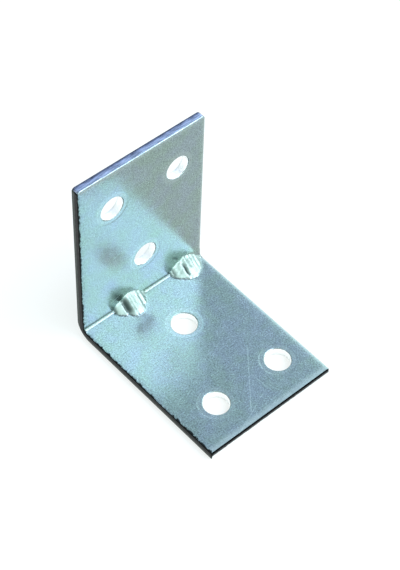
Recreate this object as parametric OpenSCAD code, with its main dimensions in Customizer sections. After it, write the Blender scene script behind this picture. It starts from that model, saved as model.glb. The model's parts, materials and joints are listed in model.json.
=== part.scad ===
// Corner brace bracket: one strip of zinc-plated steel sheet, pierced with six
// screw holes, folded once to a right angle, and stiffened by two darts that
// are pressed into the fold from outside.
// +Z is up and X runs along the fold. One leg stands at the back and the other
// lies towards -Y, with its underside at z = 0.

/* [Sheet] */
// Width of the strip, along the fold
strip_w = 30; // [24:0.5:40]
// Thickness of the sheet
sheet_t = 1.8; // [1.5:0.1:2.2]
// Outside length of the standing leg, from the underside to its top edge
standing_leg = 41; // [36:0.5:60]
// Outside length of the lying leg, from the back face to its front edge
lying_leg = 39; // [36:0.5:60]
// Radius inside the fold
inner_bend_r = 0.5; // [0.4:0.1:0.8]
// Radius outside the fold
outer_bend_r = 3.6; // [3:0.1:4]

/* [Screw holes] */
// Diameter of each screw hole
hole_d = 5.2; // [3.5:0.1:5.5]
// Distance between the two outer holes of a leg
pair_spacing = 15.7; // [14:0.1:17]
// Standing leg: height of the two outer holes above the underside
standing_pair_at = 31.6; // [27:0.1:32]
// Standing leg: height of the middle hole above the underside
standing_middle_at = 13; // [11.5:0.1:16]
// Standing leg: how far its holes lie to the right of mid-width
standing_holes_x = 0.6; // [-1:0.1:1.2]
// Lying leg: distance of the two outer holes from the back face
lying_pair_at = 31; // [27:0.1:32]
// Lying leg: distance of the middle hole from the back face
lying_middle_at = 12.9; // [11.5:0.1:16]
// Lying leg: how far its holes lie to the right of mid-width
lying_holes_x = 1.1; // [-1:0.1:1.2]
// Radius rolled over the rim of each hole, on the inside of the angle
hole_roll_r = 0.2; // [0.1:0.05:0.3]

/* [Darts] */
// Distance of the left dart's middle from mid-width
left_dart_x = -3.6; // [-6:0.1:-3.5]
// Distance of the right dart's middle from mid-width
right_dart_x = 10.8; // [5:0.1:10.8]
// Length of a dart along the fold
dart_len = 7.6; // [6:0.1:8]
// How high a dart reaches up the standing leg
dart_rise = 2.9; // [2.4:0.1:3.2]
// How far a dart reaches out over the lying leg
dart_run = 3.8; // [3:0.1:4.2]
// Sheet thickness left in a dart
dart_wall = 1.5; // [1.2:0.1:1.6]
// Height of the small ridges across a dart
ridge_h = 0.25; // [0.1:0.05:0.3]
// Radius of the small ridges across a dart
ridge_r = 0.5; // [0.4:0.05:0.6]
// Depth of the groove before the first ridge
groove_depth = 0.45; // [0.2:0.05:0.5]

/* [Edges] */
// Radius rolled over the cut edges, on the inside of the angle
edge_roll_r = 0.35; // [0.2:0.05:0.4]
// Radius of the four free corners
corner_r = 0.3; // [0.2:0.05:2]

/* [Hidden] */
$fn = 64;
// Overlap that keeps one cut from ending exactly on another face
lap = 0.1;
// The back face stands here, which puts the origin under the middle of the lying leg
back_y = lying_leg / 2;
// Where the two inner faces would meet
inner_y = back_y - sheet_t;
// A dart's crest line runs from one inner face to the other
crest_len = sqrt(dart_rise ^ 2 + dart_run ^ 2);
// How far that line passes from the inner corner
crest_gap = dart_rise * dart_run / crest_len;
// A dart is a round bead: this radius gives it its length where it meets the corner
dart_r = ((dart_len / 2) ^ 2 + crest_gap ^ 2) / (2 * crest_gap);
// Angle between the crest line and the vertical
crest_lean = atan2(dart_run, dart_rise);
// Offsets of the ridges and of the groove from a dart's middle
ridge_offsets = [-0.6, 0.45, 1.45, 2.4];
groove_offset = -1.5;

// Lays what is drawn flat, with +Y away from the heel and +Z from the outer
// face to the inner face, on the lying leg or on the standing leg
module on_lying_leg() {
    translate([0, back_y, 0]) mirror([0, 1, 0]) children();
}

module on_standing_leg() {
    translate([0, back_y, 0]) rotate([90, 0, 0]) children();
}

// The scrap between a square corner at the origin and its rounding
module corner_scrap(r) {
    difference() {
        translate([-lap, -lap]) square(r + lap);
        translate([r, r]) circle(r);
    }
}

// Section through the two legs: the heel at the origin, the lying leg along +X
module angle_section() {
    difference() {
        square([lying_leg, standing_leg]);
        difference() {
            translate([sheet_t, sheet_t]) square([lying_leg, standing_leg]);
            translate([sheet_t, sheet_t]) corner_scrap(inner_bend_r);
        }
        corner_scrap(outer_bend_r);
        translate([lying_leg, sheet_t]) rotate(180) corner_scrap(edge_roll_r);
        translate([sheet_t, standing_leg]) rotate(180) corner_scrap(edge_roll_r);
    }
}

// The folded strip, before any hole, dart or rounded side edge
module folded_strip() {
    translate([0, back_y, 0]) rotate([90, 0, -90])
        linear_extrude(strip_w, center = true) angle_section();
}

// One pierced hole: a straight wall, and a rim rolled over at the inner face
module screw_hole() {
    translate([0, 0, -lap]) cylinder(d = hole_d, h = sheet_t + 2 * lap);
    rotate_extrude() translate([hole_d / 2 + hole_roll_r, sheet_t - hole_roll_r])
        difference() {
            translate([-hole_roll_r - lap, 0]) square([hole_roll_r + lap, hole_roll_r + lap]);
            circle(hole_roll_r);
        }
}

// The three holes of one leg
module leg_holes(mid_x, pair_at, middle_at) {
    for (side = [-1, 1])
        translate([mid_x + side * pair_spacing / 2, pair_at, 0]) screw_hole();
    translate([mid_x, middle_at, 0]) screw_hole();
}

// What the shear rounds on one leg: its two free corners and its two side edges
module leg_trim(leg_len) {
    for (side = [0, 1]) mirror([side, 0, 0]) translate([strip_w / 2, 0, 0]) {
        translate([0, leg_len, -lap])
            linear_extrude(sheet_t + 2 * lap) rotate(180) corner_scrap(corner_r);
        translate([0, sheet_t + inner_bend_r, sheet_t]) rotate([-90, 0, 0])
            linear_extrude(leg_len) rotate(90) corner_scrap(edge_roll_r);
    }
}

// The same rounding of the side edges, carried round the inside of the fold
module fold_trim() {
    for (side = [0, 1]) mirror([side, 0, 0])
        translate([strip_w / 2, inner_y - inner_bend_r, sheet_t + inner_bend_r])
            rotate([0, -90, 0]) rotate_extrude(angle = 90)
                translate([inner_bend_r, 0]) side_scrap();
}

// Section of that rounding, as the turn about the fold's inner centre needs it
module side_scrap() {
    difference() {
        translate([-lap, -lap]) square(edge_roll_r + lap);
        translate([edge_roll_r, edge_roll_r]) circle(edge_roll_r);
    }
}

// Puts a round bar along the crest of a dart: +Z up the crest, -Y into the angle
module along_crest(x, radius, depth) {
    translate([x, inner_y - dart_run / 2, sheet_t + dart_rise / 2])
        rotate([-crest_lean, 0, 0]) translate([0, depth + radius, 0])
            cylinder(r = radius, h = 3 * crest_len, center = true);
}

// How far the dart's round surface has dropped at an offset from its middle
function bead_drop(offset) = dart_r - sqrt(dart_r ^ 2 - offset ^ 2);

// The raised inner side of a dart: a bead with a groove and small ridges across it
module dart_bead(x) {
    root = sheet_t / 4;
    intersection() {
        translate([x - dart_len, inner_y + root - lying_leg / 2, sheet_t - root])
            cube([2 * dart_len, lying_leg / 2, standing_leg / 2]);
        union() {
            difference() {
                along_crest(x, dart_r, 0);
                along_crest(x + groove_offset, ridge_r,
                            bead_drop(groove_offset) + groove_depth - 2 * ridge_r);
            }
            for (offset = ridge_offsets)
                along_crest(x + offset, ridge_r, bead_drop(offset) - ridge_h);
        }
    }
}

// The hollow that the press leaves on the outer side of a dart
module dart_hollow(x) {
    along_crest(x, dart_r - dart_wall, dart_wall);
}

module bracket() {
    color("lightsteelblue") difference() {
        union() {
            folded_strip();
            for (x = [left_dart_x, right_dart_x]) dart_bead(x);
        }
        for (x = [left_dart_x, right_dart_x]) dart_hollow(x);
        on_standing_leg() {
            leg_holes(standing_holes_x, standing_pair_at, standing_middle_at);
            leg_trim(standing_leg);
        }
        on_lying_leg() {
            leg_holes(lying_holes_x, lying_pair_at, lying_middle_at);
            leg_trim(lying_leg);
        }
        fold_trim();
    }
}

bracket();
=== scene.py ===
# Corner brace bracket: one folded strip of zinc-plated steel sheet on a pale light table.
import json
import math

import bmesh
import bpy
from mathutils import Matrix, Vector, noise


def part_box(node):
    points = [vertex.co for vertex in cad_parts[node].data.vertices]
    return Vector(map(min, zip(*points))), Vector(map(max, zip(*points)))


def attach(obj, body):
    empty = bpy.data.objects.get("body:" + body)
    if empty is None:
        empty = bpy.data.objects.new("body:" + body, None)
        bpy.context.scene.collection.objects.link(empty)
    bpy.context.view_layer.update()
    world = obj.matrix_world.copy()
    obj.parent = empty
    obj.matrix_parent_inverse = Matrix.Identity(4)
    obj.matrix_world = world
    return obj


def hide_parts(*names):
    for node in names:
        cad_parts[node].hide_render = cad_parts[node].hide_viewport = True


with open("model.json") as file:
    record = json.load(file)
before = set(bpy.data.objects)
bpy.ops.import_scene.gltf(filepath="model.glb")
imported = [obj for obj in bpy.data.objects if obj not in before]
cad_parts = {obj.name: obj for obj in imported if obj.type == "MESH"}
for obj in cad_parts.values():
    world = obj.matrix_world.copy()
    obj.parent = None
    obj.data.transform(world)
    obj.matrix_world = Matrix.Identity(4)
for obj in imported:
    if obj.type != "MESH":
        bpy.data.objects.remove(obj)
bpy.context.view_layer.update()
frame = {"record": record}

# ---------------------------------------------------------------------------
# The folded strip
# A strip of cold-rolled steel sheet is cropped to length, pierced with six holes
# and folded to a right angle. The shear and the piercing punches come in from
# the inside of the angle, so there the edges and rims are rolled over.
# ---------------------------------------------------------------------------
MM = 0.001
low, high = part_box("bracket")
half_width = high.x
back_y, front_y = high.y, low.y
bottom_z, top_z = low.z, high.z
sheet = 1.8 * MM
inner_y = back_y - sheet
inner_z = bottom_z + sheet
inner_bend = 0.5 * MM
outer_bend = 3.6 * MM
top_corner_radius = 0.7 * MM
front_corner_radius = 0.35 * MM
# The tight rounding right at a sheared edge, and the softer one tumbling leaves on its back
edge_radius = 0.16 * MM
back_radius = 0.22 * MM


def select_edges(mesh, test):
    """Edges whose two end points pass the test."""
    return [edge for edge in mesh.edges if test(edge.verts[0].co, edge.verts[1].co)]


def round_edges(mesh, edges, radius, segments):
    """Rounds edges over with a bevel of so many segments."""
    bmesh.ops.bevel(mesh, geom=edges, offset=radius, offset_type="OFFSET", segments=segments,
                    profile=0.5, affect="EDGES", material=-1)


tolerance = 0.002 * MM


def near(a, b):
    return abs(a - b) < tolerance


strip = bmesh.new()
section = [(back_y, bottom_z), (back_y, top_z), (inner_y, top_z),
           (inner_y, inner_z), (front_y, inner_z), (front_y, bottom_z)]
end_face = strip.faces.new([strip.verts.new((-half_width, y, z)) for y, z in section])
swept = bmesh.ops.extrude_face_region(strip, geom=[end_face])
bmesh.ops.translate(strip, vec=(2 * half_width, 0, 0),
                    verts=[v for v in swept["geom"] if isinstance(v, bmesh.types.BMVert)])
bmesh.ops.recalc_face_normals(strip, faces=strip.faces)

# The fold: a wide radius outside, and a nearly sharp one inside
heel = select_edges(strip, lambda a, b: near(a.y, back_y) and near(b.y, back_y)
                    and near(a.z, bottom_z) and near(b.z, bottom_z))
round_edges(strip, heel, outer_bend, 20)
crease = select_edges(strip, lambda a, b: near(a.y, inner_y) and near(b.y, inner_y)
                      and near(a.z, inner_z) and near(b.z, inner_z))
round_edges(strip, crease, inner_bend, 8)

# The four free corners, seen along the thickness of each leg
top_corners = select_edges(strip, lambda a, b: near(a.x, b.x) and near(a.z, top_z) and near(b.z, top_z))
round_edges(strip, top_corners, top_corner_radius, 8)
front_corners = select_edges(strip, lambda a, b: near(a.x, b.x) and near(a.y, front_y)
                             and near(b.y, front_y))
round_edges(strip, front_corners, front_corner_radius, 6)


def depth_below_inside(co):
    """How far a point lies under the inner faces of the angle."""
    past_back, past_floor = max(co.y - inner_y, 0.0), max(inner_z - co.z, 0.0)
    if past_back > 0 and past_floor > 0:
        return math.hypot(past_back, past_floor)
    if past_back == 0 and past_floor == 0:
        return 0.0
    return max(past_back, past_floor)


sharp_turn = math.radians(60)


def outline_edges(mesh, inside):
    """Edges where an inner (or outer) face of the sheet meets a sheared face."""
    found = []
    for edge in mesh.edges:
        if len(edge.link_faces) != 2:
            continue
        turn = edge.calc_face_angle(0.0)
        if turn < sharp_turn:
            continue
        middle = (edge.verts[0].co + edge.verts[1].co) / 2
        if (depth_below_inside(middle) < 0.1 * MM) == inside:
            found.append(edge)
    return found


round_edges(strip, outline_edges(strip, True), edge_radius, 4)
round_edges(strip, outline_edges(strip, False), back_radius, 3)


def slice_at(mesh, axis, places):
    """Adds a row of edges at each place along an axis."""
    normal = Vector([1.0 if i == axis else 0.0 for i in range(3)])
    for place in places:
        bmesh.ops.bisect_plane(mesh, geom=mesh.verts[:] + mesh.edges[:] + mesh.faces[:],
                               dist=0.0005 * MM, plane_co=normal * place, plane_no=normal)


# Rows of edges: close ones where the darts will be pressed, wider ones along the fold
# beside them, and a few that crowd towards the sheared edges
dart_middles = [-3.6 * MM, 10.8 * MM]
dart_length = 7.6 * MM
dart_half = dart_length / 2 + 0.5 * MM
close_step, wide_step, band_step = 0.13 * MM, 1.0 * MM, 0.2 * MM
columns = [m - dart_half + i * close_step for m in dart_middles
           for i in range(int(2 * dart_half / close_step) + 1)]
roll_rows = [0.3 * MM, 0.5 * MM, 0.75 * MM, 1.1 * MM, 1.6 * MM, 2.3 * MM]
columns += [side * (half_width - row) for row in roll_rows for side in (-1, 1)]
columns += [first + i * wide_step for first, count in ((-13.5 * MM, 6), (1.5 * MM, 5))
            for i in range(count)]
slice_at(strip, 0, [c for c in columns if abs(c) < half_width - 0.2 * MM])
band_rows = [band_step * (i + 1) for i in range(28)]
slice_at(strip, 2, [inner_z + row for row in band_rows] + [top_z - row for row in roll_rows])
slice_at(strip, 1, [inner_y - row for row in band_rows] + [front_y + row for row in roll_rows])

# ---------------------------------------------------------------------------
# The darts
# After folding, a press with two round-nosed tools drives the heel inwards. Each
# leaves a bead across the inside of the fold, with a step and small ridges from
# the tool, and a hollow outside.
# ---------------------------------------------------------------------------
dart_rise = 2.9 * MM
dart_run = 3.8 * MM
dart_wall = 1.5 * MM
crest_length = math.hypot(dart_rise, dart_run)
crest_gap = dart_rise * dart_run / crest_length
hollow_radius = ((dart_length / 2) ** 2 + crest_gap ** 2) / (2 * crest_gap) - dart_wall
into_angle = Vector((0, -dart_rise, dart_run)) / crest_length
# The crest of a bead as the tool's nose leaves it: mm from its middle, share of its height
crest_line = [(-4.05, -0.12), (-3.8, 0.30), (-3.0, 0.56), (-2.0, 0.82), (-1.0, 0.97), (-0.3, 1.0),
              (0.6, 0.97), (1.5, 0.84), (2.3, 0.62), (3.1, 0.34), (3.8, 0.06), (4.1, -0.12)]
# Marks of the tool on each crest: mm from its middle, height, half-width, how far they reach
# along the bead from where (0 at the inner corner, more towards the standing leg), and how much painted
# shade lies in its groove
crest_marks = [
    [(-1.85, -0.60, 0.60, 1.9, -0.35, 0.4), (-1.60, 0.0, 0.85, 1.8, -0.35, 1.0),
     (-0.95, 0.15, 0.30, 2.6, -0.6, 0), (-0.58, -0.10, 0.20, 2.0, -0.9, 0.25),
     (-0.20, 0.13, 0.28, 2.4, -0.4, 0), (0.18, -0.10, 0.20, 1.7, -0.2, 0.3),
     (0.56, 0.13, 0.30, 2.4, -0.9, 0), (1.15, 0.10, 0.26, 1.9, -0.3, 0),
     (1.75, -0.26, 0.36, 1.5, -1.0, 0.5), (2.45, 0.14, 0.30, 1.6, -0.4, 0),
     (3.00, -0.08, 0.22, 1.2, 0.0, 0.2), (-3.80, -0.22, 0.30, 0.9, 0.0, 0.7)],
    [(-3.45, -0.28, 0.28, 1.0, 0.1, 0.6), (-1.15, -0.34, 0.34, 1.4, -0.7, 1.0),
     (-1.65, 0.08, 0.32, 2.4, -0.9, 0), (-0.60, 0.20, 0.28, 1.4, 0.5, 0),
     (-0.05, -0.16, 0.22, 1.5, 0.3, 0.35), (0.45, 0.13, 0.26, 2.0, -0.3, 0),
     (0.90, -0.12, 0.20, 1.2, 0.6, 0.3), (1.30, 0.14, 0.26, 1.8, 0.2, 0),
     (1.85, -0.14, 0.24, 1.3, -0.3, 0.3), (2.40, 0.14, 0.28, 1.8, -0.2, 0),
     (3.00, -0.08, 0.22, 1.2, 0.2, 0.2)]]


def soft_positive(value, softness):
    """The value where it is positive, easing into zero instead of a corner."""
    if value > 30 * softness:
        return value
    return softness * math.log1p(math.exp(value / softness))


def mark_share(offset, along, mark):
    """How strongly one tool mark shows at a point of the crest, from 0 to 1."""
    place, _, half, reach, start, _ = mark
    across = (offset - place) / half * 1.35
    return math.exp(-across ** 2 - ((along - start) / reach) ** 4)


def crest_level(offset, along, marks):
    """Height of a bead's crest above the inner corner; offset and along are in mm."""
    total = 0.0
    for blur in (-0.2, 0.0, 0.2):
        for (x0, share0), (x1, share1) in zip(crest_line, crest_line[1:]):
            if x0 <= offset + blur <= x1:
                share = share0 + (share1 - share0) * (offset + blur - x0) / (x1 - x0)
                total += crest_gap * share / 3
                break
        else:
            total -= crest_gap * 0.15
    for mark in marks:
        total += mark[1] * MM * mark_share(offset, along, mark)
    return total


def hollow_level(offset):
    """Height of the round hollow pressed into the heel, on the same scale."""
    if abs(offset) >= hollow_radius:
        return -1.0
    return crest_gap - hollow_radius - dart_wall + math.sqrt(hollow_radius ** 2 - offset ** 2)


fold_rub = 0.42 * MM
fold_shade_reach = 0.30 * MM
shade_patch = 1.1 * MM
shade_line_height, shade_line_half = 0.60 * MM, 0.19 * MM
notch_from_middle, notch_half, notch_reach = 4.0 * MM, 0.15 * MM, 0.4 * MM
tear_size, fine_tear_size = 0.62 * MM, 0.28 * MM
tear_height, fine_tear_height = 0.11 * MM, 0.04 * MM
bead_foot, hollow_lip = 0.17 * MM, 0.12 * MM
# How far the press has to move the metal to burnish it fully, to clear the painted shade, and to give a
# tool mark its painted shade
burnish_push, shade_clear_push, mark_shade_push = 0.45 * MM, 0.15 * MM, 0.2 * MM
burnish = strip.verts.layers.float.new("burnish")
# Painted shade: in the fold, in a line above it, at the beads' ends and in the tool marks' grooves
crease_shade = strip.verts.layers.float.new("crease_shade")
for vert in strip.verts:
    co = vert.co
    run, rise = inner_y - co.y, co.z - inner_z
    inside = min(run, rise) > -0.2 * MM
    level = (run * dart_rise + rise * dart_run) / crest_length
    along = (rise * dart_rise - run * dart_run) / crest_length
    if inside:
        vert[burnish] = 0.55 * max(0.0, 1 - level / fold_rub)
        # Painted shade darkens the fold unevenly, and a line just above it
        uneven_shade = 0.62 + 0.25 * noise.noise(co / shade_patch)
        shade_line_share = 0.50 * math.exp(-((rise - shade_line_height) / shade_line_half) ** 2)
        vert[crease_shade] = max(shade_line_share * (run < 0.1 * MM), uneven_shade * math.exp(-(level / fold_shade_reach) ** 2))
    for middle, marks in zip(dart_middles, crest_marks):
        offset = co.x - middle
        if abs(offset) > dart_half:
            continue
        if inside:
            tearing = (tear_height * noise.noise(co / tear_size)
                       + fine_tear_height * noise.noise(co / fine_tear_size))
            target = crest_level(offset / MM, along / MM, marks) + tearing
            push = soft_positive(target - level, bead_foot)
            vert[burnish] = max(vert[burnish], min(push / burnish_push, 1.0))
            vert[crease_shade] *= max(0.0, 1 - push / shade_clear_push)
            # A painted dark spot of shade where the bead's end meets the fold
            notch_shade = math.exp(-((abs(offset) - notch_from_middle) / notch_half) ** 2
                             - (level / notch_reach) ** 2)
            vert[crease_shade] = max(vert[crease_shade], 0.85 * notch_shade)
            # Painted shade in the grooves of the tool marks
            for mark in marks:
                share = mark_share(offset / MM, along / MM, mark) * min(push / mark_shade_push, 1.0)
                vert[crease_shade] = max(vert[crease_shade], mark[5] * share)
        else:
            push = soft_positive(hollow_level(offset) - level, hollow_lip)
        if push > tolerance:
            vert.co = co + into_angle * push

# The shear draws the inner faces down a little all along the outline
roll_depth = 0.13 * MM
roll_width = 0.65 * MM
for vert in strip.verts:
    co = vert.co
    depth = depth_below_inside(co)
    to_side = half_width - abs(co.x)
    standing = co.z > inner_z + 2 * MM
    to_end = (top_z - co.z) if standing else (co.y - front_y)
    reach = min(to_side, to_end)
    drop = roll_depth * math.exp(-max(reach, 0) / roll_width) * (1 - min(depth / sheet, 1))
    if drop < 0.0005 * MM or (not standing and co.y > inner_y - 0.6 * MM):
        continue
    if standing:
        co.y += drop
    else:
        co.z -= drop

strip_mesh = bpy.data.meshes.new("bracket_sheet")
strip.to_mesh(strip_mesh)
strip.free()
bracket = bpy.data.objects.new("bracket_sheet", strip_mesh)
bpy.context.scene.collection.objects.link(bracket)

# ---------------------------------------------------------------------------
# The screw holes
# Each is pierced by a punch that enters from the inside of the angle. It rolls the
# rim over, and leaves a straight wall below it.
# ---------------------------------------------------------------------------
holes = [m for m in frame["record"]["mounts"] if m["kind"] == "bore"]
rim_radius = 0.2 * MM
punches = bmesh.new()
for hole in holes:
    radius = hole["dims"]["r_mm"] * MM
    # The wall's middle is stated, so the inner face lies half a wall and the rim above it
    face_at = hole["dims"]["length_mm"] * MM / 2 + rim_radius
    profile = [(0, face_at - 2 * sheet), (radius, face_at - 2 * sheet)]
    for i in range(6):
        turn = math.radians(80) * i / 5
        profile.append((radius + rim_radius * (1 - math.cos(turn)),
                        face_at - rim_radius * (1 - math.sin(turn))))
    profile.append((radius + 1.5 * rim_radius, face_at + 0.12 * rim_radius))
    profile.append((radius + 1.5 * rim_radius, face_at + sheet))
    profile.append((0, face_at + sheet))
    ring = [punches.verts.new((r, 0, z)) for r, z in profile]
    wire = [punches.edges.new(pair) for pair in zip(ring, ring[1:])]
    bmesh.ops.spin(punches, geom=ring + wire, cent=(0, 0, 0), axis=(0, 0, 1),
                   angle=math.tau, steps=96, use_merge=True)
    made = [v for v in punches.verts if not v.tag]
    upright = Vector(hole["axis"]).to_track_quat("Z", "Y").to_matrix().to_4x4()
    place = Matrix.Translation(Vector(hole["pos_m"])) @ upright
    bmesh.ops.transform(punches, matrix=place, verts=made)
    bmesh.ops.remove_doubles(punches, verts=made, dist=0.0005 * MM)
    for vert in punches.verts:
        vert.tag = True
bmesh.ops.recalc_face_normals(punches, faces=punches.faces)
punch_mesh = bpy.data.meshes.new("punches")
punches.to_mesh(punch_mesh)
punches.free()
punch_object = bpy.data.objects.new("punches", punch_mesh)
bpy.context.scene.collection.objects.link(punch_object)

piercing = bracket.modifiers.new("pierce", "BOOLEAN")
piercing.operation = "DIFFERENCE"
piercing.solver = "EXACT"
piercing.object = punch_object
bpy.context.view_layer.update()
pierced = bpy.data.meshes.new_from_object(bracket.evaluated_get(bpy.context.evaluated_depsgraph_get()))
bracket.modifiers.clear()
bracket.data = pierced
bpy.data.objects.remove(punch_object)

# Which faces the shear and the punches cut, where the clamps rub and highlight is painted, and which edges
# stay sharp
crease_turn = math.radians(32)
front_rub_sheen_reach, top_rub_sheen_reach, right_sheen_reach = 1.35 * MM, 0.9 * MM, 0.55 * MM
SKIN, SLIT_EDGE, TOP_EDGE, FRONT_EDGE, PIERCED_WALL = range(5)
shaped = bmesh.new()
shaped.from_mesh(pierced)
for face in shaped.faces:
    face.smooth = True
    middle, normal = face.calc_center_median(), face.normal
    face.material_index = SKIN
    if (normal.x < -0.4 or normal.x > 0.9) and abs(middle.x) > half_width - edge_radius:
        face.material_index = SLIT_EDGE
    elif normal.z > 0.4 and middle.z > top_z - edge_radius - roll_depth:
        face.material_index = TOP_EDGE
    # The front rim's rounded faces take the cut face's painted black band of shade, which hides their
    # highlight
    elif normal.y < -0.1 and middle.y < front_y + edge_radius + roll_depth:
        face.material_index = FRONT_EDGE
    else:
        for hole in holes:
            axis = Vector(hole["axis"])
            out = middle - Vector(hole["pos_m"])
            aside = (out - axis * out.dot(axis)).length
            if aside < hole["dims"]["r_mm"] * MM + 0.75 * rim_radius and abs(normal.dot(axis)) < 0.7:
                face.material_index = PIERCED_WALL
for edge in shaped.edges:
    edge.smooth = edge.calc_face_angle(0.0) < crease_turn
rub_and_sheen = shaped.verts.layers.float.new("rub_and_sheen")
# How far each point lies under the inner faces, for the bands along the cut edges
below = shaped.verts.layers.float.new("below")
for vert in shaped.verts:
    co = vert.co
    vert[below] = depth_below_inside(co) / sheet
    # Bands along the ends: rubbed by the clamps, and partly a painted highlight
    front_band = math.exp(-(max(co.y - front_y, 0) / front_rub_sheen_reach) ** 4) * (co.z < inner_z + MM)
    top_band = 0.6 * math.exp(-(max(top_z - co.z, 0) / top_rub_sheen_reach) ** 2) * (co.z > inner_z + 9 * MM)
    # A painted highlight along the rolled right edge
    right_sheen = 0.9 * math.exp(-(max(half_width - co.x, 0) / right_sheen_reach) ** 2)
    vert[rub_and_sheen] = max(front_band, top_band, right_sheen)
# Big faces rule the shading of their borders, so that the flats stay flat beside each rounding
shading = []
for face in shaped.faces:
    for corner in face.loops:
        total = Vector()
        for beside in corner.vert.link_faces:
            if beside.normal.dot(face.normal) > math.cos(crease_turn):
                total += beside.normal * (beside.calc_area() / MM ** 2)
        shading.append(total.normalized())
shaped.to_mesh(pierced)
shaped.free()
pierced.normals_split_custom_set(shading)


# ---------------------------------------------------------------------------
# The zinc plating and the cut edges
# The finished strip is barrel-plated in zinc and passivated. The film lies evenly on the
# rolled faces, and so thinly on the sheared and pierced ones that the steel's bands show.
# The black bands on the slit and sheared edges are painted dark reflection and shade.
# ---------------------------------------------------------------------------
def linear(hex_colour):
    """The linear RGBA of an sRGB hex colour."""
    parts = [int(hex_colour[i:i + 2], 16) / 255 for i in (1, 3, 5)]
    return [p / 12.92 if p <= 0.04045 else ((p + 0.055) / 1.055) ** 2.4 for p in parts] + [1.0]


def add(tree, kind, inputs=None, **settings):
    """Adds one shader node; inputs are values, or sockets to link from."""
    made = tree.nodes.new(kind)
    for name, value in settings.items():
        setattr(made, name, value)
    for name, value in (inputs or {}).items():
        if isinstance(value, bpy.types.NodeSocket):
            tree.links.new(value, made.inputs[name])
        else:
            made.inputs[name].default_value = value
    return made


def new_material(name):
    material = bpy.data.materials.new(name)
    material.use_nodes = True
    material.node_tree.nodes.clear()
    return material, material.node_tree


# Zinc electroplated on cold-rolled steel sheet, with a clear blue passivation. It mirrors
# softly. The rolled sheet shows through as a fine salt-and-pepper grain about 0.3 mm wide,
# the bath leaves cloudy patches of some 4 mm with a violet or a green cast, and handling
# leaves hairline scratches. Tools and clamps rub the plating to a lighter, brighter film;
# the lighter bands along the ends and round the holes are partly painted highlight, the one along the
# rolled right edge wholly.
plating, tree = new_material("blue passivated zinc plate")
place = add(tree, "ShaderNodeTexCoord").outputs["Object"]
cloud = add(tree, "ShaderNodeTexNoise", {"Vector": place, "Scale": 1 / (4.2 * MM), "Detail": 3.0,
                                         "Roughness": 0.6})
mottle = add(tree, "ShaderNodeTexNoise", {"Vector": place, "Scale": 1 / (1.3 * MM), "Detail": 2.0})
grain = add(tree, "ShaderNodeTexNoise", {"Vector": place, "Scale": 1 / (0.30 * MM), "Detail": 2.0,
                                         "Roughness": 0.75})
cast = add(tree, "ShaderNodeMapRange", {"Value": cloud.outputs[0], "From Min": 0.38, "From Max": 0.64})
skin = add(tree, "ShaderNodeMix", {"Factor": cast.outputs[0], "A": linear("#859891"),
                                   "B": linear("#88979b")}, data_type="RGBA", clamp_factor=True)
# Brightness of the film: grain, mottle, dark pits and pale specks multiply together
grain_share = add(tree, "ShaderNodeMapRange", {"Value": grain.outputs[0], "From Min": 0.3,
                                               "From Max": 0.7, "To Min": 0.58, "To Max": 1.42})
mottle_share = add(tree, "ShaderNodeMapRange", {"Value": mottle.outputs[0], "From Min": 0.3,
                                                "From Max": 0.7, "To Min": 0.95, "To Max": 1.05})
pit_cells = add(tree, "ShaderNodeTexVoronoi", {"Vector": place, "Scale": 1 / (2.3 * MM)})
pit_share = add(tree, "ShaderNodeMapRange", {"Value": pit_cells.outputs["Distance"],
                                             "From Min": 0.03, "From Max": 0.085,
                                             "To Min": 0.72, "To Max": 1.0})
speck_cells = add(tree, "ShaderNodeTexVoronoi", {"Vector": place, "Scale": 1 / (0.62 * MM)})
speck_share = add(tree, "ShaderNodeMapRange", {"Value": speck_cells.outputs["Distance"],
                                               "From Min": 0.10, "From Max": 0.30,
                                               "To Min": 0.80, "To Max": 1.0})
bright = grain_share
for share in (mottle_share, speck_share, pit_share):
    bright = add(tree, "ShaderNodeMath", {0: bright.outputs[0], 1: share.outputs[0]},
                 operation="MULTIPLY")
# Hairline scratches: three sets of straight lines some way apart, most of each worn away.
# Each set has its turn in degrees, the gap and the half-width in mm, and a place to start
scratches = None
for lean, gap, wide, seed in (((12, 31, 40), 11.3, 0.07, 3.0), ((-52, 14, 74), 8.7, 0.05, 17.0),
                              ((35, -27, -21), 14.9, 0.06, 29.0)):
    turned = add(tree, "ShaderNodeMapping", {"Vector": place, "Scale": (1 / MM, 1 / MM, 1 / MM),
                                             "Rotation": [math.radians(a) for a in lean],
                                             "Location": (seed, seed, seed)})
    across = add(tree, "ShaderNodeSeparateXYZ", {"Vector": turned.outputs[0]}).outputs["X"]
    apart = add(tree, "ShaderNodeMath", {0: across, 1: gap / 2, 2: -gap / 2}, operation="WRAP")
    apart = add(tree, "ShaderNodeMath", {0: apart.outputs[0]}, operation="ABSOLUTE")
    line = add(tree, "ShaderNodeMapRange", {"Value": apart.outputs[0], "From Min": 0.4 * wide,
                                            "From Max": 1.6 * wide, "To Min": 1.0, "To Max": 0.0})
    left = add(tree, "ShaderNodeTexNoise", {"Vector": turned.outputs[0], "Scale": 0.13, "Detail": 1.0})
    left = add(tree, "ShaderNodeMapRange", {"Value": left.outputs[0], "From Min": 0.56, "From Max": 0.62})
    kept = add(tree, "ShaderNodeMath", {0: line.outputs[0], 1: left.outputs[0]}, operation="MULTIPLY")
    scratches = kept if scratches is None else add(
        tree, "ShaderNodeMath", {0: scratches.outputs[0], 1: kept.outputs[0]}, operation="MAXIMUM")
scratch_share = add(tree, "ShaderNodeMath", {0: scratches.outputs[0], 1: 0.16}, operation="MULTIPLY")
bright = add(tree, "ShaderNodeMath", {0: bright.outputs[0], 1: scratch_share.outputs[0]},
             operation="ADD")
film = add(tree, "ShaderNodeVectorMath", {0: skin.outputs["Result"], "Scale": bright.outputs[0]},
           operation="SCALE")
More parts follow.
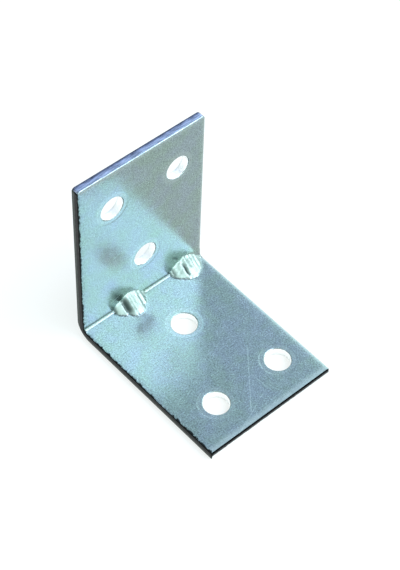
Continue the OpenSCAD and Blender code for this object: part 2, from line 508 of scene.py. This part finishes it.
# Clamps and the shear's pad polish a band along the ends, raggedly; part of its lightness is painted
# highlight, and the band along the rolled right edge is all painted highlight
rub_and_sheen_mark = add(tree, "ShaderNodeAttribute", attribute_name="rub_and_sheen").outputs["Fac"]
ragged_rub_and_sheen = add(tree, "ShaderNodeMath", {0: rub_and_sheen_mark, 1: mottle_share.outputs[0]}, operation="MULTIPLY")
# The stripper plate presses a shallow ring round each hole: a bump gives its relief, and its lighter tone
# is painted highlight
ring_flat, ring_edge = 0.65 * MM, 1.05 * MM
rings = None
for hole in holes:
    out = add(tree, "ShaderNodeVectorMath", {0: place, 1: hole["pos_m"]}, operation="SUBTRACT")
    out = add(tree, "ShaderNodeVectorMath", {0: out.outputs[0], 1: [1 - abs(a) for a in hole["axis"]]},
              operation="MULTIPLY")
    out = add(tree, "ShaderNodeVectorMath", {0: out.outputs[0]}, operation="LENGTH").outputs["Value"]
    rim = hole["dims"]["r_mm"] * MM + rim_radius
    ring = add(tree, "ShaderNodeMapRange", {"Value": out, "From Min": rim + ring_flat,
                                            "From Max": rim + ring_edge, "To Min": 1.0, "To Max": 0.0},
               interpolation_type="SMOOTHSTEP")
    rings = ring if rings is None else add(
        tree, "ShaderNodeMath", {0: rings.outputs[0], 1: ring.outputs[0]}, operation="MAXIMUM")
# The ring's painted highlight
ring_painted_sheen = add(tree, "ShaderNodeMath", {0: rings.outputs[0], 1: 0.34}, operation="MULTIPLY")
ragged_rub_and_sheen = add(tree, "ShaderNodeMath", {0: ragged_rub_and_sheen.outputs[0], 1: ring_painted_sheen.outputs[0]},
             operation="MAXIMUM")
rub_and_sheen_share = add(tree, "ShaderNodeMapRange", {"Value": ragged_rub_and_sheen.outputs[0], "From Min": 0.12, "From Max": 0.9,
                                          "To Max": 0.55})
film = add(tree, "ShaderNodeMix", {"Factor": rub_and_sheen_share.outputs[0], "A": film.outputs[0],
                                   "B": linear("#b4c2be")}, data_type="RGBA")
# The press tools burnish the darts and the fold
press_mark = add(tree, "ShaderNodeAttribute", attribute_name="burnish").outputs["Fac"]
pressed = add(tree, "ShaderNodeMath", {0: press_mark, 1: grain_share.outputs[0]}, operation="MULTIPLY")
pressed = add(tree, "ShaderNodeMapRange", {"Value": pressed.outputs[0], "From Min": 0.1,
                                           "From Max": 0.95}, interpolation_type="SMOOTHSTEP")
film = add(tree, "ShaderNodeMix", {"Factor": pressed.outputs[0], "A": film.outputs["Result"],
                                   "B": linear("#a3b6b1")}, data_type="RGBA")
# Painted shade in the fold, and a painted dark reflection curling raggedly over the left edge
crease_shade_mark = add(tree, "ShaderNodeAttribute", attribute_name="crease_shade").outputs["Fac"]
crease_shade_share = add(tree, "ShaderNodeMath", {0: crease_shade_mark, 1: 0.88}, operation="MULTIPLY")
film = add(tree, "ShaderNodeMix", {"Factor": crease_shade_share.outputs[0], "A": film.outputs["Result"],
                                   "B": linear("#1c2828")}, data_type="RGBA")
# Painted dark reflection: the plating turns black in a ragged band along the left edge
sideways = add(tree, "ShaderNodeSeparateXYZ", {"Vector": place}).outputs["X"]
to_side = add(tree, "ShaderNodeMath", {0: sideways, 1: half_width}, operation="ADD")
dark_reflection_reach = add(tree, "ShaderNodeTexNoise", {"Vector": place, "Scale": 1 / (1.1 * MM), "Detail": 3.0,
                                        "Roughness": 0.7})
dark_reflection_reach = add(tree, "ShaderNodeMapRange", {"Value": dark_reflection_reach.outputs[0], "From Min": 0.35, "From Max": 0.70,
                                        "To Min": 0.02 * MM, "To Max": 0.58 * MM})
within = add(tree, "ShaderNodeMath", {0: to_side.outputs[0], 1: dark_reflection_reach.outputs[0]}, operation="SUBTRACT")
painted_dark_reflection = add(tree, "ShaderNodeMapRange", {"Value": within.outputs[0], "From Min": -0.04 * MM,
                                         "From Max": 0.05 * MM, "To Min": 0.95, "To Max": 0.0})
film = add(tree, "ShaderNodeMix", {"Factor": painted_dark_reflection.outputs[0], "A": film.outputs["Result"],
                                   "B": linear("#0c0f0e")}, data_type="RGBA")
gloss = add(tree, "ShaderNodeMapRange", {"Value": mottle.outputs[0], "From Min": 0.3, "From Max": 0.7,
                                         "To Min": 0.18, "To Max": 0.25})
gloss = add(tree, "ShaderNodeMath", {0: gloss.outputs[0], 1: scratch_share.outputs[0]}, operation="ADD")
press_haze = add(tree, "ShaderNodeMath", {0: pressed.outputs[0], 1: 0.36}, operation="MULTIPLY")
gloss = add(tree, "ShaderNodeMath", {0: gloss.outputs[0], 1: press_haze.outputs[0]}, operation="ADD")
# Relief in metres: the sheet's grain, its slow waviness, and the scratches
waviness = add(tree, "ShaderNodeBump", {"Height": mottle.outputs[0], "Distance": 0.003 * MM,
                                        "Strength": 1.0})
ring_relief = add(tree, "ShaderNodeBump", {"Height": rings.outputs[0], "Distance": 0.035 * MM,
                                           "Strength": 1.0, "Normal": waviness.outputs[0]},
                  invert=True)
grain_relief = add(tree, "ShaderNodeBump", {"Height": grain.outputs[0], "Distance": 0.005 * MM,
                                            "Strength": 1.0, "Normal": ring_relief.outputs[0]})
relief = add(tree, "ShaderNodeBump", {"Height": scratches.outputs[0], "Distance": 0.006 * MM,
                                      "Strength": 1.0, "Normal": grain_relief.outputs[0]}, invert=True)
shader = add(tree, "ShaderNodeBsdfPrincipled", {"Base Color": film.outputs["Result"], "Metallic": 1.0,
                                                "Roughness": gloss.outputs[0],
                                                "Normal": relief.outputs[0]})
add(tree, "ShaderNodeOutputMaterial", {"Surface": shader.outputs[0]})


def cut_steel(name, bands, wander, grain_mm, contrast, roughness):
    """Cut steel under zinc: bands of colour down the cut, with a wandering border.

    bands holds (share of the sheet's thickness, colour); grain_mm is the grain's size
    along each axis, and contrast how far it lightens and darkens the steel."""
    material, tree = new_material(name)
    place = add(tree, "ShaderNodeTexCoord").outputs["Object"]
    depth = add(tree, "ShaderNodeAttribute", attribute_name="below").outputs["Fac"]
    border = add(tree, "ShaderNodeTexNoise", {"Vector": place, "Scale": 1 / (0.9 * MM), "Detail": 3.0,
                                              "Roughness": 0.7})
    shift = add(tree, "ShaderNodeMapRange", {"Value": border.outputs[0], "From Min": 0.25,
                                             "From Max": 0.75, "To Min": -wander, "To Max": wander})
    where = add(tree, "ShaderNodeMath", {0: depth, 1: shift.outputs[0]}, operation="ADD")
    ramp = add(tree, "ShaderNodeValToRGB", {"Fac": where.outputs[0]})
    stops = ramp.color_ramp.elements
    stops[0].position, stops[0].color = bands[0][0], linear(bands[0][1])
    stops[1].position, stops[1].color = bands[-1][0], linear(bands[-1][1])
    for share, colour in bands[1:-1]:
        stops.new(share).color = linear(colour)
    stretched = add(tree, "ShaderNodeMapping", {"Vector": place,
                                                "Scale": [1 / (size * MM) for size in grain_mm]})
    streaks = add(tree, "ShaderNodeTexNoise", {"Vector": stretched.outputs[0], "Scale": 1.0,
                                               "Detail": 3.0, "Roughness": 0.7})
    share = add(tree, "ShaderNodeMapRange", {"Value": streaks.outputs[0], "From Min": 0.3,
                                             "From Max": 0.7, "To Min": 1 - contrast,
                                             "To Max": 1 + contrast})
    colour = add(tree, "ShaderNodeVectorMath", {0: ramp.outputs[0], "Scale": share.outputs[0]},
                 operation="SCALE")
    gloss = add(tree, "ShaderNodeMapRange", {"Value": streaks.outputs[0], "From Min": 0.3,
                                             "From Max": 0.7, "To Min": roughness - 0.05,
                                             "To Max": roughness + 0.07})
    relief = add(tree, "ShaderNodeBump", {"Height": streaks.outputs[0], "Distance": 0.02 * MM,
                                          "Strength": 1.0})
    shader = add(tree, "ShaderNodeBsdfPrincipled", {"Base Color": colour.outputs[0], "Metallic": 1.0,
                                                    "Roughness": gloss.outputs[0],
                                                    "Normal": relief.outputs[0]})
    add(tree, "ShaderNodeOutputMaterial", {"Surface": shader.outputs[0]})
    return material


# The strip is slit from a wide coil. Its cut is painted dark reflection: a black band, then a grey one
slit_edge = cut_steel(
    "slit steel edge", [(0.0, "#131716"), (0.10, "#060808"), (0.52, "#080a0a"), (0.62, "#434945"),
                        (0.9, "#3b413d"), (1.0, "#1c201e")], 0.10, (0.5, 0.5, 0.5), 0.35, 0.42)
# The standing leg's end is cropped clean, and takes more zinc and a violet-blue film; its inner rim is
# darkened as painted shade
top_edge = cut_steel(
    "cropped zinc plated edge", [(0.0, "#5c6c6f"), (0.06, "#718388"), (0.14, "#96a5b4"),
                                 (0.30, "#96a2b8"), (0.62, "#8893ae"), (0.78, "#5c6379"),
                                 (1.0, "#262b33")], 0.08, (2.4, 0.32, 0.32), 0.55, 0.28)
# The lying leg's end shows a thin black band of painted shade under the rim, and bright steel below it
front_edge = cut_steel(
    "sheared bright steel edge", [(0.0, "#141817"), (0.06, "#060808"), (0.40, "#0a0c0c"),
                                  (0.48, "#c9d0cf"), (0.56, "#f1f5f4"), (1.0, "#f6f9f8")],
    0.05, (0.5, 0.5, 0.5), 0.12, 0.32)
# The punch leaves a thin dull line under the rim and bright straight walls below it
pierced_wall = cut_steel(
    "pierced bright steel wall", [(0.0, "#7d8c8c"), (0.04, "#4a5251"), (0.09, "#fbfdfd"), (0.75, "#fafcfc"),
                                  (1.0, "#dfe4e3")], 0.03, (0.4, 0.4, 0.4), 0.08, 0.5)

for finish in (plating, slit_edge, top_edge, front_edge, pierced_wall):
    bracket.data.materials.append(finish)
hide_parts("bracket")
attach(bracket, "root")

# ---------------------------------------------------------------------------
# Studio
# The bracket stands on a light table of opal glass, lit from below so that it stays pale
# under and behind the bracket, among large soft boxes that the metal mirrors.
# ---------------------------------------------------------------------------
floor_mesh = bpy.data.meshes.new("floor")
glass_plate = bmesh.new()
bmesh.ops.create_grid(glass_plate, x_segments=1, y_segments=1, size=1.5)
bmesh.ops.translate(glass_plate, vec=(0, 0, bottom_z - 0.01 * MM), verts=glass_plate.verts)
glass_plate.to_mesh(floor_mesh)
glass_plate.free()
floor = bpy.data.objects.new("floor", floor_mesh)
bpy.context.scene.collection.objects.link(floor)
# Opal glass: milky right through, with a matt face that shows no reflections
opal, tree = new_material("opal glass light table")
shader = add(tree, "ShaderNodeBsdfPrincipled", {"Base Color": linear("#7c7c7c"), "Roughness": 0.9,
                                                "Emission Color": linear("#fbfefb"),
                                                "Emission Strength": 0.70})
add(tree, "ShaderNodeOutputMaterial", {"Surface": shader.outputs[0]})
floor.data.materials.append(opal)

world = bpy.data.worlds.new("studio")
bpy.context.scene.world = world
world.use_nodes = True
tree = world.node_tree
tree.nodes.clear()
direction = add(tree, "ShaderNodeTexCoord").outputs["Generated"]
# Soft boxes: azimuth from +X towards +Y, elevation, full and fading radius, colour, strength
room_light = [0.52, 0.53, 0.54, 1.0]
soft_boxes = [(-44, 55, 9, 25, "#e8ecff", 8.2), (-34, 27, 8, 24, "#f0faff", 3.8),
              (-90, 10, 20, 42, "#f0ffff", 4.0), (47, 50, 25, 55, "#b2d5ff", 0.72),
              (0, 14, 25, 55, "#ecfffb", 1.2), (-155, 24, 25, 60, "#ecfffb", 1.3)]
light = add(tree, "ShaderNodeRGB")
light.outputs[0].default_value = room_light
light = light.outputs[0]
for azimuth, elevation, full, fade, colour, strength in soft_boxes:
    a, e = math.radians(azimuth), math.radians(elevation)
    aim = (math.cos(a) * math.cos(e), math.sin(a) * math.cos(e), math.sin(e))
    along = add(tree, "ShaderNodeVectorMath", {0: direction, 1: aim}, operation="DOT_PRODUCT")
    share = add(tree, "ShaderNodeMapRange",
                {"Value": along.outputs["Value"], "From Min": math.cos(math.radians(fade)),
                 "From Max": math.cos(math.radians(full)), "To Max": strength},
                interpolation_type="SMOOTHSTEP")
    glow = add(tree, "ShaderNodeVectorMath", {0: linear(colour)[:3], "Scale": share.outputs[0]},
               operation="SCALE")
    light = add(tree, "ShaderNodeVectorMath", {0: light, 1: glow.outputs[0]}, operation="ADD").outputs[0]
background = add(tree, "ShaderNodeBackground", {"Color": light, "Strength": 1.0})
add(tree, "ShaderNodeOutputWorld", {"Surface": background.outputs[0]})
bpy.context.scene.view_settings.view_transform = "Standard"

# A long lens, from the left and above
azimuth, elevation, roll = math.radians(-43.24), math.radians(50.68), math.radians(2.29)
distance = 325 * MM
aim = Vector((3.44, 5.10, 13.10)) * MM
back = Vector((math.sin(azimuth) * math.cos(elevation), -math.cos(azimuth) * math.cos(elevation),
               math.sin(elevation)))
camera = bpy.data.objects.new("camera", bpy.data.cameras.new("camera"))
bpy.context.scene.collection.objects.link(camera)
camera.data.lens = 108.8
camera.data.sensor_width = 36
camera.data.clip_start = 0.01
camera.location = aim + back * distance
turn = back.to_track_quat("Z", "Y") @ Matrix.Rotation(roll, 3, "Z").to_quaternion()
camera.rotation_mode = "QUATERNION"
camera.rotation_quaternion = turn
bpy.context.scene.camera = camera
